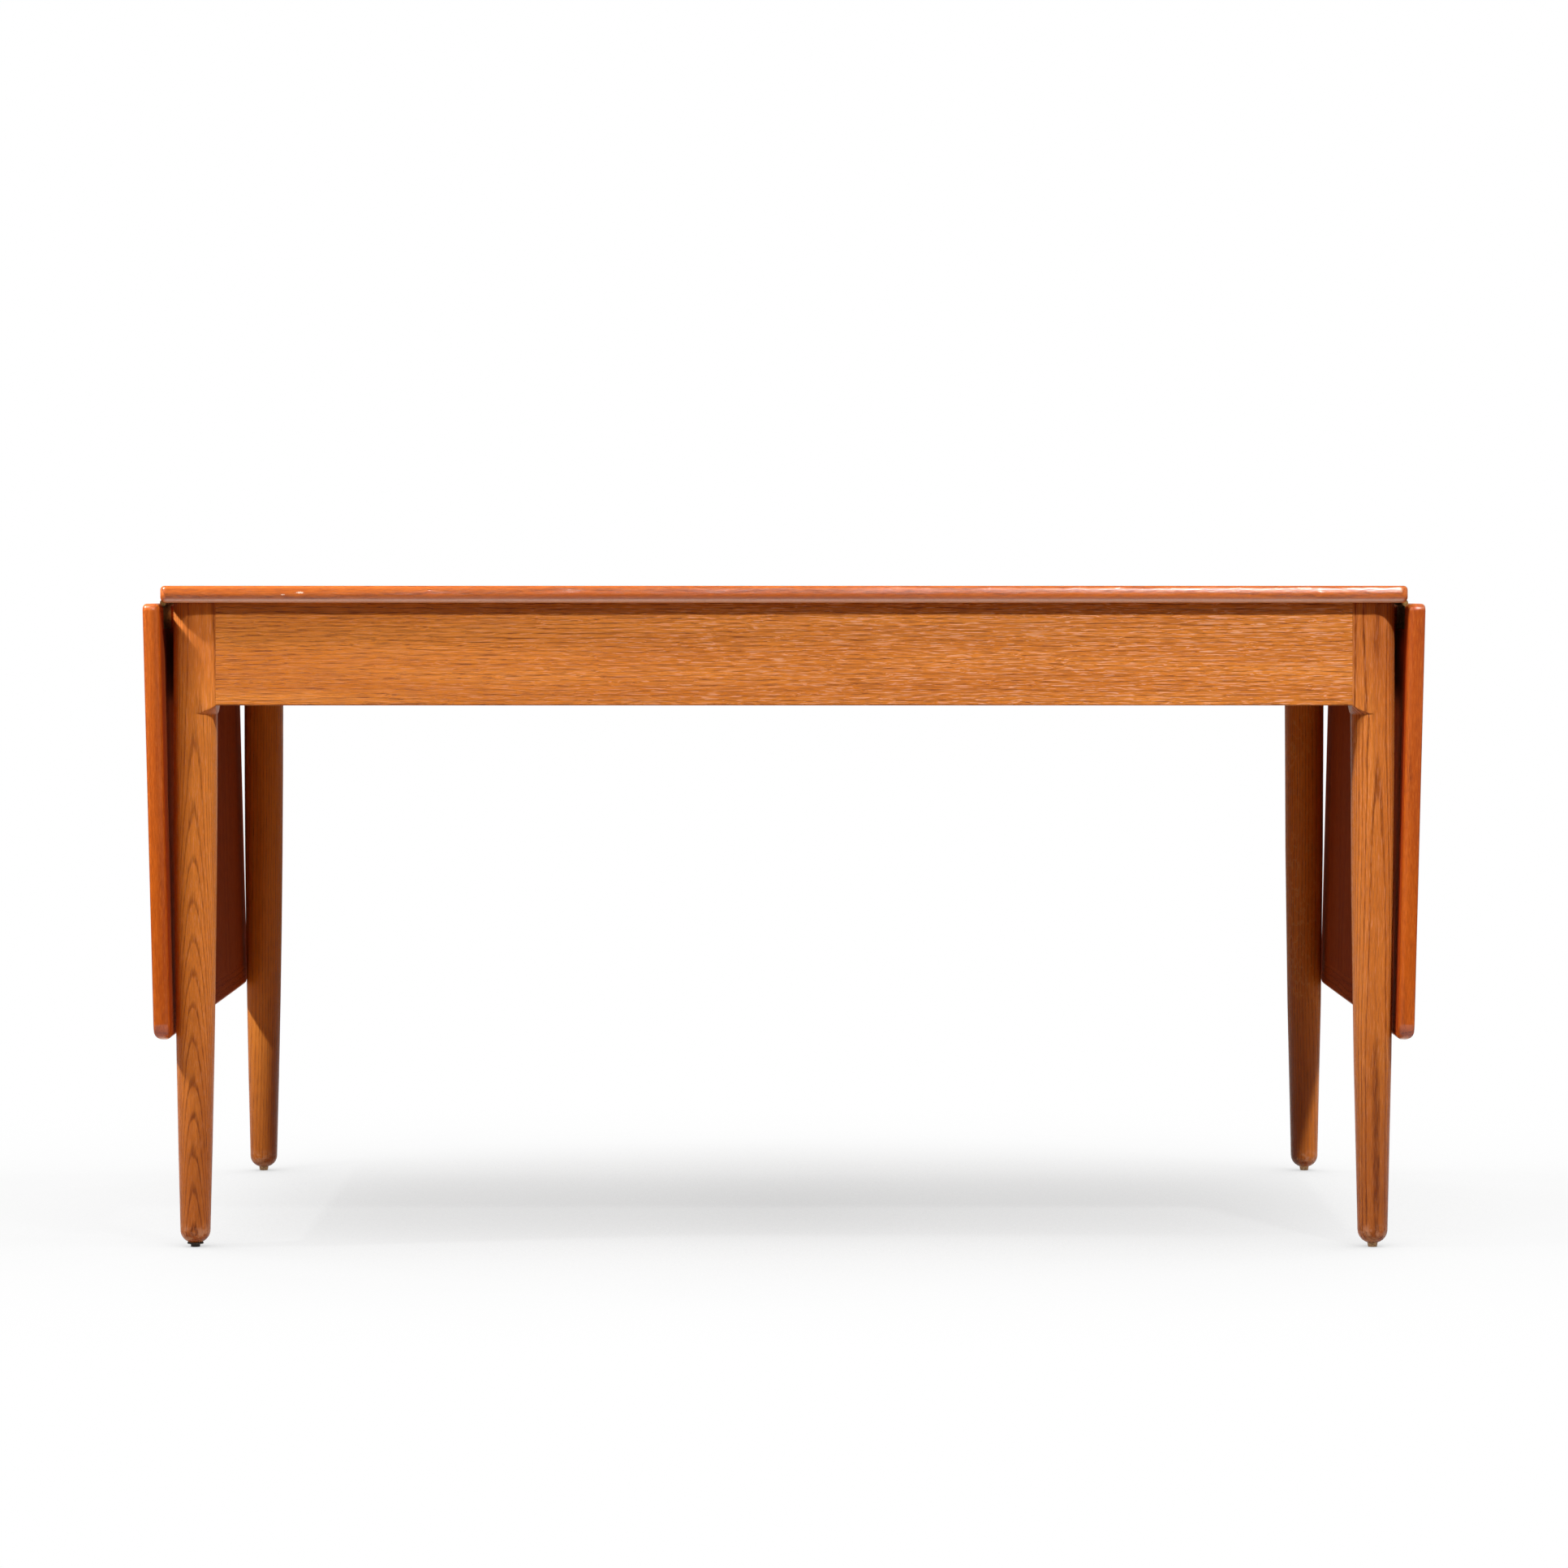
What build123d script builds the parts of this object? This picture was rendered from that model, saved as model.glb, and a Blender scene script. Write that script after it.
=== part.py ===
from build123d import *
import os
from math import asin, cos, degrees, hypot, sin, sqrt

# Drop leaf table: a teak top with a hanging leaf at each end on an oak frame.
# Origin on the floor under the middle of the table, +X along its length, front towards -Y.

# Boards, in millimetres
table_height = 737.0
top_length = 1385.0
top_depth = 860.0
board_thickness = 19.0
leaf_length = 485.0
leaf_gap = 1.0
lipping_width = 32.0
edge_upper_radius = 4.5
edge_lower_radius = 6.5
top_corner_radius = 8.0
leaf_corner_radius = 18.0
end_upper_radius = 11.0
end_lower_radius = 7.0

# Legs
end_overhang = 11.5
side_overhang = 12.1
leg_top_radius = 24.5
leg_foot_radius = 16.8
foot_flat_radius = 6.5
foot_round_height = 14.0
head_inner = 24.9
pommel_height = 9.5
glide_height = 5.0
glide_top_radius = 5.9
glide_bottom_radius = 5.0
pad_radius = 9.0
pad_thickness = 1.6
pad_stud_radius = 5.2
glide_pin_radius = 3.0
glide_pin_length = 16.0

# Aprons and rails
apron_height = 114.0
apron_thickness = 22.0
apron_arris = 1.5
tenon_thickness = 9.0
tenon_length = 24.0
tenon_shoulder = 13.0
rail_thickness = 20.0
rail_height = 70.0
rail_spacing = 800.0
rail_tenon_length = 10.0
rail_tenon_shoulder = 8.0
corner_block_reach = 58.0
corner_block_height = 45.0

# Pull-out supports for the leaves
loper_width = 44.0
loper_height = 26.0
loper_length = 560.0
loper_spacing = 400.0
loper_recess = 1.0
loper_arris = 2.0
finger_cove_radius = 10.0
finger_cove_depth = 6.0
finger_cove_inset = 48.0
stop_pin_radius = 4.0
stop_pin_seat = 18.0
stop_pin_drop = 10.0
stop_pin_inset = 25.0

# Leaf hinges
hinge_length = 76.0
hinge_inset = 38.0
flap_width = 29.0
flap_thickness = 2.0
knuckle_count = 5
knuckle_radius = 3.5
pin_radius = 1.75
flap_screw_rows = (11.0, 20.0, 11.0)
flap_screw_pitch = 24.0

# Screws: radius of the head and shank, height of the head, whole length
hinge_screw_head = 3.4
hinge_screw_shank = 1.7
hinge_screw_taper = 1.7
hinge_screw_length = 14.0
top_screw_head = 4.2
top_screw_shank = 2.2
top_screw_taper = 2.2
top_screw_grip = 14.0
top_screw_pocket = 5.2
top_screw_pocket_depth = 20.0
top_screw_along = 36.0
top_screw_inset = 11.0

# Clearances
joint_clearance = 0.15
loper_clearance = 0.3
rest_clearance = 0.3
hang_clearance = 2.4
knuckle_clearance = 0.3
knuckle_play = 0.3
bore_clearance = 0.05
recess_clearance = 0.2
screw_clearance = 0.1

# Places that follow from the sizes above
underside = table_height - board_thickness
apron_bottom = underside - apron_height
apron_middle = underside - apron_height / 2
leg_x = top_length / 2 - end_overhang - leg_top_radius
leg_y = top_depth / 2 - side_overhang - leg_top_radius
outer_x = leg_x + leg_top_radius
outer_y = leg_y + leg_top_radius
inner_y = outer_y - apron_thickness
pommel_bottom = apron_bottom - pommel_height
foot_bottom = glide_height
foot_round_top = foot_bottom + foot_round_height
apron_length = 2 * (leg_x - head_inner)
end_apron_length = 2 * (leg_y - head_inner)
tenon_height = apron_height - 2 * tenon_shoulder
loper_top = underside - loper_clearance
loper_middle = loper_top - loper_height / 2
loper_bottom = loper_top - loper_height
loper_outer = outer_x - loper_recess
pivot_x = top_length / 2 + leaf_gap / 2
AXIAL = (Align.CENTER, Align.CENTER, Align.MIN)
SIDES = {"left": -1, "right": 1}
FRONT_BACK = {"front": -1, "back": 1}

# The leg narrows along one arc that starts plumb under its head
leg_fall = pommel_bottom - foot_round_top
leg_taper = leg_top_radius - leg_foot_radius
leg_arc_radius = (leg_fall**2 + leg_taper**2) / (2 * leg_taper)


def leg_radius_at(height):
    """Radius of the turned part of a leg at a height above the floor."""
    drop = pommel_bottom - height
    return leg_top_radius - leg_arc_radius + sqrt(leg_arc_radius**2 - drop**2)


# A hanging leaf leans in until the flat of its underside hangs just clear of the legs
leaf_flat = leaf_gap / 2 + leaf_length - end_lower_radius
leaf_stop_x = leg_x + leg_radius_at(underside - leaf_flat) + hang_clearance
lean = asin((pivot_x - leaf_stop_x) / leaf_flat)

# Middle of each hinge along the table's depth, and of each knuckle along a hinge
hinge_end_y = top_depth / 2 - hinge_inset - hinge_length / 2
hinge_places = (-hinge_end_y, 0.0, hinge_end_y)
knuckle_length = (hinge_length - (knuckle_count - 1) * knuckle_play) / knuckle_count
knuckle_places = [
    (k - (knuckle_count - 1) / 2) * (knuckle_length + knuckle_play) for k in range(knuckle_count)
]


def finish_piece(piece, name):
    """Label a finished piece and write it to its own file."""
    piece.part.label = name
    export_step(piece.part, f"parts/{name}.step")


def hinge_plane(side, y, on_leaf):
    """Plane across a hinge: local X runs over the board's underside, local Y into the wood."""
    if on_leaf:
        along = Vector(-side * sin(lean), 0, -cos(lean))
        into = Vector(side * cos(lean), 0, -sin(lean))
    else:
        along = Vector(-side, 0, 0)
        into = Vector(0, 0, 1)
    return Plane(origin=(side * pivot_x, y, underside), x_dir=along, z_dir=along.cross(into))


def hinge_planes(side, on_leaf):
    """The planes of the three hinges between the top and one leaf."""
    return [hinge_plane(side, y, on_leaf) for y in hinge_places]


def flap_screw_planes(plane):
    """Places of a flap's screws, on its face and pointing into the wood."""
    middle = (len(flap_screw_rows) - 1) / 2
    places = []
    for k, row in enumerate(flap_screw_rows):
        origin = plane.from_local_coords(Vector(row, 0, (k - middle) * flap_screw_pitch))
        places.append(Plane(origin=origin, x_dir=plane.x_dir, z_dir=plane.y_dir))
    return places


def screws(places, head, shank, taper, length, clearance=0.0, mode=Mode.ADD):
    """Countersunk screws, or with a clearance the holes that they fill."""
    with Locations(*places):
        Cylinder(shank + clearance, length + clearance, align=AXIAL, mode=mode)
        Cone(head + clearance, shank + clearance, taper, align=AXIAL, mode=mode)


def hinge_screws(planes, clearance=0.0, mode=Mode.ADD):
    """The screws of several flaps, or the holes for them."""
    places = [place for plane in planes for place in flap_screw_planes(plane)]
    screws(
        places,
        hinge_screw_head,
        hinge_screw_shank,
        hinge_screw_taper,
        hinge_screw_length,
        clearance,
        mode,
    )


def let_in_hinges(planes):
    """Recesses in a board for its flaps and for the knuckles, and holes for the screws."""
    for plane in planes:
        with BuildSketch(plane) as recess:
            with Locations((0, flap_thickness / 2)):
                Rectangle(2 * (flap_width + recess_clearance), flap_thickness)
            Circle(knuckle_radius + knuckle_clearance)
        half_length = hinge_length / 2 + recess_clearance
        extrude(recess.sketch, amount=half_length, both=True, mode=Mode.SUBTRACT)
    hinge_screws(planes, screw_clearance, Mode.SUBTRACT)


def board_regions(length):
    """Outlines that part a board into its panel and its four mitred lippings."""
    x, y = length / 2, top_depth / 2
    a, b = x - lipping_width, y - lipping_width
    return {
        "panel": [(-a, -b), (a, -b), (a, b), (-a, b)],
        "far": [(x, -y), (x, y), (a, b), (a, -b)],
        "near": [(-x, y), (-x, -y), (-a, -b), (-a, b)],
        "plus": [(x, y), (-x, y), (-a, b), (a, b)],
        "minus": [(-x, -y), (x, -y), (a, -b), (-a, -b)],
    }


def board_blank(board, plane, length, near_radius, far_radius):
    """A whole board, standing on a plane, with rounded corners and rounded edges."""
    with BuildSketch(plane) as outline:
        Rectangle(length, top_depth)
        fillet(outline.vertices().group_by(Axis.X)[0], near_radius)
        fillet(outline.vertices().group_by(Axis.X)[-1], far_radius)
    extrude(outline.sketch, amount=board_thickness)
    upright = Axis(plane.origin, plane.z_dir)
    fillet(board.faces().sort_by(upright)[-1].edges(), edge_upper_radius)
    fillet(board.faces().sort_by(upright)[0].edges(), edge_lower_radius)


def round_free_end(plane, length):
    """Round the far end of a board more fully than its other edges."""
    section = Plane(origin=plane.origin, x_dir=plane.x_dir, z_dir=plane.x_dir.cross(plane.z_dir))
    with BuildSketch(section) as outline:
        with Locations((0, board_thickness / 2)):
            Rectangle(length, board_thickness)
        lower = outline.vertices().group_by(Axis.X)[-1].sort_by(Axis.Y)[0]
        fillet(lower, end_lower_radius)
        upper = outline.vertices().group_by(Axis.X)[-1].sort_by(Axis.Y)[-1]
        fillet(upper, end_upper_radius)
    extrude(outline.sketch, amount=top_depth, both=True, mode=Mode.INTERSECT)


def keep_region(plane, region):
    """Keep only the part of a board that lies over one region of its plan."""
    with BuildSketch(plane) as kept:
        Polygon(*region, align=None)
    extrude(kept.sketch, amount=board_thickness, mode=Mode.INTERSECT)


# Places of the screws that hold the top, on a leg's own outward axes
block_end = head_inner + corner_block_reach
block_inner = apron_thickness - leg_top_radius
top_screw_spots = [
    (-head_inner - top_screw_along, -block_inner - top_screw_inset),
    (-block_inner - top_screw_inset, -head_inner - top_screw_along),
]
top_screw_start = underside - corner_block_height + top_screw_pocket_depth
top_screw_length = corner_block_height - top_screw_pocket_depth + top_screw_grip


def top_screw_planes(side, facing):
    """Places of the two screws that go up through one corner block."""
    return [
        Plane(origin=(side * (leg_x + x), facing * (leg_y + y), top_screw_start))
        for x, y in top_screw_spots
    ]


corners = [(side, facing) for side in SIDES.values() for facing in FRONT_BACK.values()]
all_top_screws = [place for side, facing in corners for place in top_screw_planes(side, facing)]


def top_screws(places, clearance=0.0, mode=Mode.ADD):
    """The screws that hold the top, or the holes for them."""
    screws(
        places, top_screw_head, top_screw_shank, top_screw_taper, top_screw_length, clearance, mode
    )


# Table top: a veneered panel inside four solid lippings
top_plane = Plane(origin=(0, 0, underside))
top_names = {
    "panel": "top_panel",
    "far": "top_lipping_right",
    "near": "top_lipping_left",
    "plus": "top_lipping_back",
    "minus": "top_lipping_front",
}
for place, region in board_regions(top_length).items():
    with BuildPart() as top_piece:
        board_blank(top_piece, top_plane, top_length, top_corner_radius, top_corner_radius)
        keep_region(top_plane, region)
        if place == "panel":
            top_screws(all_top_screws, screw_clearance, Mode.SUBTRACT)
        if place == "far":
            let_in_hinges(hinge_planes(1, False))
        if place == "near":
            let_in_hinges(hinge_planes(-1, False))
    finish_piece(top_piece, top_names[place])

# Leaves: made as the top is, hanging from the hinge axis
for side_name, side in SIDES.items():
    hang = hinge_plane(side, 0, True)
    leaf_middle = hang.from_local_coords(Vector(leaf_gap / 2 + leaf_length / 2, 0, 0))
    leaf_plane = Plane(origin=leaf_middle, x_dir=hang.x_dir, z_dir=hang.y_dir)
    leaf_names = {
        "panel": f"{side_name}_leaf_panel",
        "far": f"{side_name}_leaf_lipping_end",
        "near": f"{side_name}_leaf_lipping_hinged",
        "plus": f"{side_name}_leaf_lipping_" + ("back" if side > 0 else "front"),
        "minus": f"{side_name}_leaf_lipping_" + ("front" if side > 0 else "back"),
    }
    for place, region in board_regions(leaf_length).items():
        with BuildPart() as leaf_piece:
            board_blank(leaf_piece, leaf_plane, leaf_length, top_corner_radius, leaf_corner_radius)
            round_free_end(leaf_plane, leaf_length)
            keep_region(leaf_plane, region)
            if place == "near":
                let_in_hinges(hinge_planes(side, True))
        finish_piece(leaf_piece, leaf_names[place])

# Hinges: five-knuckle butts, flaps let in flush, one pin each
for side_name, side in SIDES.items():
    for board_name, on_leaf in {"top": False, "leaf": True}.items():
        planes = hinge_planes(side, on_leaf)
        own = knuckle_places[1::2] if on_leaf else knuckle_places[0::2]
        others = knuckle_places[0::2] if on_leaf else knuckle_places[1::2]
        with BuildPart() as flaps:
            for plane in planes:
                with BuildSketch(plane):
                    with Locations((flap_width / 2, flap_thickness / 2)):
                        Rectangle(flap_width, flap_thickness)
                extrude(amount=hinge_length / 2, both=True)
                for spot in others:
                    with BuildSketch(plane.offset(spot)):
                        Circle(knuckle_radius + knuckle_clearance)
                    extrude(
                        amount=knuckle_length / 2 + knuckle_play, both=True, mode=Mode.SUBTRACT
                    )
                for spot in own:
                    with BuildSketch(plane.offset(spot)):
                        Circle(knuckle_radius)
                    extrude(amount=knuckle_length / 2, both=True)
                with BuildSketch(plane):
                    Circle(pin_radius + bore_clearance)
                extrude(amount=hinge_length / 2, both=True, mode=Mode.SUBTRACT)
            hinge_screws(planes, screw_clearance, Mode.SUBTRACT)
        finish_piece(flaps, f"{side_name}_hinge_{board_name}_flaps")

        with BuildPart() as flap_screws:
            hinge_screws(planes)
        finish_piece(flap_screws, f"{side_name}_hinge_{board_name}_screws")

    with BuildPart() as pins:
        for plane in hinge_planes(side, False):
            with BuildSketch(plane):
                Circle(pin_radius)
            extrude(amount=hinge_length / 2, both=True)
    finish_piece(pins, f"{side_name}_hinge_pins")


def leg_profile(plane):
    """Half outline of the turned part, from the foot's flat up to the squared head."""
    with BuildSketch(plane) as profile:
        with BuildLine():
            flat = Line((0, foot_bottom), (foot_flat_radius, foot_bottom))
            foot_side = (leg_foot_radius, foot_round_top)
            TangentArc(foot_side, flat @ 1, tangent=(0, -1))
            shoulder = (leg_top_radius, pommel_bottom)
            TangentArc(shoulder, foot_side, tangent=(0, -1))
            Polyline(shoulder, (0, pommel_bottom), (0, foot_bottom))
        make_face()
    return profile.sketch


def pommel_profile(plane):
    """Half outline of the cone that cuts the head's square corners down to the round leg."""
    corner = hypot(head_inner, leg_top_radius)
    slope = pommel_height / (corner - leg_top_radius)
    beyond = corner + pommel_height
    with BuildSketch(plane) as profile:
        with BuildLine():
            Polyline(
                (0, pommel_bottom),
                (leg_top_radius, pommel_bottom),
                (beyond, apron_bottom + (beyond - corner) * slope),
                (beyond, underside),
                (0, underside),
                close=True,
            )
        make_face()
    return profile.sketch


# Legs: turned and tapered, with a squared head flush with both aprons
tenon_from_axis = leg_top_radius - apron_thickness / 2
mortise_middle = -head_inner + (tenon_length + joint_clearance) / 2
mortise_size = (
    tenon_length + joint_clearance,
    tenon_thickness + 2 * joint_clearance,
    tenon_height + 2 * joint_clearance,
)
for facing_name, facing in FRONT_BACK.items():
    for side_name, side in SIDES.items():
        x, y = side * leg_x, facing * leg_y
        across = Plane(origin=(x, y, 0), x_dir=(1, 0, 0), z_dir=(0, -1, 0))
        leg_axis = Axis((x, y, 0), (0, 0, 1))
        head_middle = (leg_top_radius - head_inner) / 2
        with BuildPart() as leg:
            with BuildSketch(Plane(origin=(x, y, pommel_bottom))) as head:
                with Locations((side * head_middle, facing * head_middle)):
                    Rectangle(leg_top_radius + head_inner, leg_top_radius + head_inner)
                outward = Axis((0, 0, 0), (side, facing, 0))
                fillet(head.vertices().sort_by(outward)[-1], leg_top_radius)
            extrude(amount=underside - pommel_bottom)
            revolve(pommel_profile(across), axis=leg_axis, mode=Mode.INTERSECT)
            revolve(leg_profile(across), axis=leg_axis)
            with Locations((x + side * mortise_middle, y + facing * tenon_from_axis, apron_middle)):
                Box(mortise_size[0], mortise_size[1], mortise_size[2], mode=Mode.SUBTRACT)
            with Locations((x + side * tenon_from_axis, y + facing * mortise_middle, apron_middle)):
                Box(mortise_size[1], mortise_size[0], mortise_size[2], mode=Mode.SUBTRACT)
            with Locations((x, y, foot_bottom)):
                Cylinder(
                    glide_pin_radius + screw_clearance,
                    glide_pin_length,
                    align=AXIAL,
                    mode=Mode.SUBTRACT,
                )
        finish_piece(leg, f"leg_{facing_name}_{side_name}")

# Glides: tapered metal studs, and a padded one under the front left leg
with BuildPart() as glides:
    for side, facing in [(1, -1), (-1, 1), (1, 1)]:
        with Locations((side * leg_x, facing * leg_y, 0)):
            Cone(glide_bottom_radius, glide_top_radius, glide_height, align=AXIAL)
            Cylinder(glide_pin_radius, glide_height + glide_pin_length, align=AXIAL)
finish_piece(glides, "foot_glides")

with BuildPart() as padded_glide:
    with Locations((-leg_x, -leg_y, 0)):
        Cylinder(pad_stud_radius, glide_height, align=AXIAL)
        Cylinder(glide_pin_radius, glide_height + glide_pin_length, align=AXIAL)
    with Locations((-leg_x, -leg_y, glide_height - pad_thickness)):
        Cylinder(pad_radius, pad_thickness, align=AXIAL)
finish_piece(padded_glide, "front_left_glide")

# Long aprons: tenoned into the legs, with stub mortises for the cross rails
rail_ends = [(-rail_spacing / 2, 0, 0), (rail_spacing / 2, 0, 0)]
rail_tenon_height = rail_height - 2 * rail_tenon_shoulder
rail_middle = underside - rail_height / 2
for facing_name, facing in FRONT_BACK.items():
    with BuildPart() as apron:
        with Locations((0, facing * (outer_y - apron_thickness / 2), apron_middle)):
            Box(apron_length, apron_thickness, apron_height)
        fillet(apron.edges().filter_by(Axis.X).group_by(Axis.Z)[0], apron_arris)
        with Locations((0, facing * (leg_y + tenon_from_axis), apron_middle)):
            Box(apron_length + 2 * tenon_length, tenon_thickness, tenon_height)
        with Locations((0, facing * (inner_y + rail_tenon_length / 2), rail_middle)):
            with Locations(*rail_ends):
                Box(
                    tenon_thickness + 2 * joint_clearance,
                    rail_tenon_length + joint_clearance,
                    rail_tenon_height + 2 * joint_clearance,
                    mode=Mode.SUBTRACT,
                )
    finish_piece(apron, f"apron_{facing_name}")

# Notches that the supports slide through
loper_rows = [-loper_spacing / 2, loper_spacing / 2]
notch_width = loper_width + 2 * loper_clearance
notch_depth = loper_height + 2 * loper_clearance


def loper_notches(x, thickness):
    """Open notches in the upper edge of a rail, one for each support."""
    with Locations(*[(x, row, underside - notch_depth / 2) for row in loper_rows]):
        Box(thickness, notch_width, notch_depth, mode=Mode.SUBTRACT)


# End aprons: tenoned into the legs and notched for the supports
for side_name, side in SIDES.items():
    with BuildPart() as end_apron:
        with Locations((side * (outer_x - apron_thickness / 2), 0, apron_middle)):
            Box(apron_thickness, end_apron_length, apron_height)
        fillet(end_apron.edges().filter_by(Axis.Y).group_by(Axis.Z)[0], apron_arris)
        with Locations((side * (leg_x + tenon_from_axis), 0, apron_middle)):
            Box(tenon_thickness, end_apron_length + 2 * tenon_length, tenon_height)
        loper_notches(side * (outer_x - apron_thickness / 2), apron_thickness)
    finish_piece(end_apron, f"apron_{side_name}")

# Cross rails: stub tenoned between the long aprons, guiding the supports
for side_name, side in SIDES.items():
    rail_x = side * rail_spacing / 2
    with BuildPart() as rail:
        with Locations((rail_x, 0, rail_middle)):
            Box(rail_thickness, 2 * inner_y, rail_height)
            Box(tenon_thickness, 2 * (inner_y + rail_tenon_length), rail_tenon_height)
        loper_notches(rail_x, rail_thickness)
    finish_piece(rail, f"cross_rail_{side_name}")

# Corner blocks: glued behind each leg and between the aprons
for facing_name, facing in FRONT_BACK.items():
    for side_name, side in SIDES.items():
        block_outline = [
            (-head_inner, -block_inner),
            (-block_end, -block_inner),
            (-block_inner, -block_end),
            (-block_inner, -head_inner),
            (-head_inner, -head_inner),
        ]
        points = [(side * (leg_x + u), facing * (leg_y + v)) for u, v in block_outline]
        with BuildPart() as block:
            with BuildSketch(Plane.XY.offset(underside - corner_block_height)):
                Polygon(*points, align=None)
            extrude(amount=corner_block_height)
            places = top_screw_planes(side, facing)
            top_screws(places, screw_clearance, Mode.SUBTRACT)
            with Locations(*[place.offset(-top_screw_pocket_depth) for place in places]):
                Cylinder(
                    top_screw_pocket, top_screw_pocket_depth, align=AXIAL, mode=Mode.SUBTRACT
                )
        finish_piece(block, f"corner_block_{facing_name}_{side_name}")

with BuildPart() as fixing_screws:
    top_screws(all_top_screws)
finish_piece(fixing_screws, "top_fixing_screws")

# Supports: bars that pull out under a raised leaf, each with a stop pin at its inner end
for side_name, side in SIDES.items():
    for facing_name, facing in FRONT_BACK.items():
        row = facing * loper_spacing / 2
        bar_middle = side * (loper_outer - loper_length / 2)
        pin_x = side * (loper_outer - loper_length + stop_pin_inset)
        cove_x = side * (loper_outer - finger_cove_inset)
        with BuildPart() as loper:
            with Locations((bar_middle, row, loper_middle)):
                Box(loper_length, loper_width, loper_height)
            fillet(loper.edges().filter_by(Axis.X), loper_arris)
            with BuildSketch(Plane.XZ.offset(-row)):
                with Locations((cove_x, loper_bottom + finger_cove_depth - finger_cove_radius)):
                    Circle(finger_cove_radius)
            extrude(amount=loper_width, both=True, mode=Mode.SUBTRACT)
            with Locations((pin_x, row, loper_bottom)):
                Cylinder(
                    stop_pin_radius + bore_clearance,
                    stop_pin_seat,
                    align=AXIAL,
                    mode=Mode.SUBTRACT,
                )
        finish_piece(loper, f"{side_name}_support_{facing_name}")

        with BuildPart() as stop_pin:
            with Locations((pin_x, row, loper_bottom - stop_pin_drop)):
                Cylinder(stop_pin_radius, stop_pin_drop + stop_pin_seat, align=AXIAL)
        finish_piece(stop_pin, f"{side_name}_support_{facing_name}_stop_pin")

print("leaf lean, degrees:", round(degrees(lean), 3))
face_at_bar = (underside - loper_bottom) * sin(lean) / cos(lean)
print("support travel, mm:", round(pivot_x - face_at_bar - rest_clearance - loper_outer, 2))
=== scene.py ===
import math
import bpy
from mathutils import Matrix, Vector


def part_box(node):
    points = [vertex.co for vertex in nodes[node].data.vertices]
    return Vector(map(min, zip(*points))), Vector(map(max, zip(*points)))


# Drop leaf table in teak and oak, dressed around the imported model. Sizes are in metres.
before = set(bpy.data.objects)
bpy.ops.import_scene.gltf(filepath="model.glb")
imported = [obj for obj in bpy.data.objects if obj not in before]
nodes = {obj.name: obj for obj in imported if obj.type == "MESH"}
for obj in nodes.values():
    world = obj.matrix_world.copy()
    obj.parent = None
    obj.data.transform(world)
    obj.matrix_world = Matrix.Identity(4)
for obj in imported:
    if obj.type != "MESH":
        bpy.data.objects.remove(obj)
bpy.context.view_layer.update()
scene = bpy.context.scene

X_AXIS = Vector((1, 0, 0))
Y_AXIS = Vector((0, 1, 0))
Z_AXIS = Vector((0, 0, 1))
FACINGS = (("front", -1), ("back", 1))
SIDES = (("left", -1), ("right", 1))

# Mean value of a noise, which runs from 0 to 1
NOISE_MIDDLE = 0.5

# Rays that read the shape round a softened crease
CREASE_SAMPLES = 6


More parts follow.
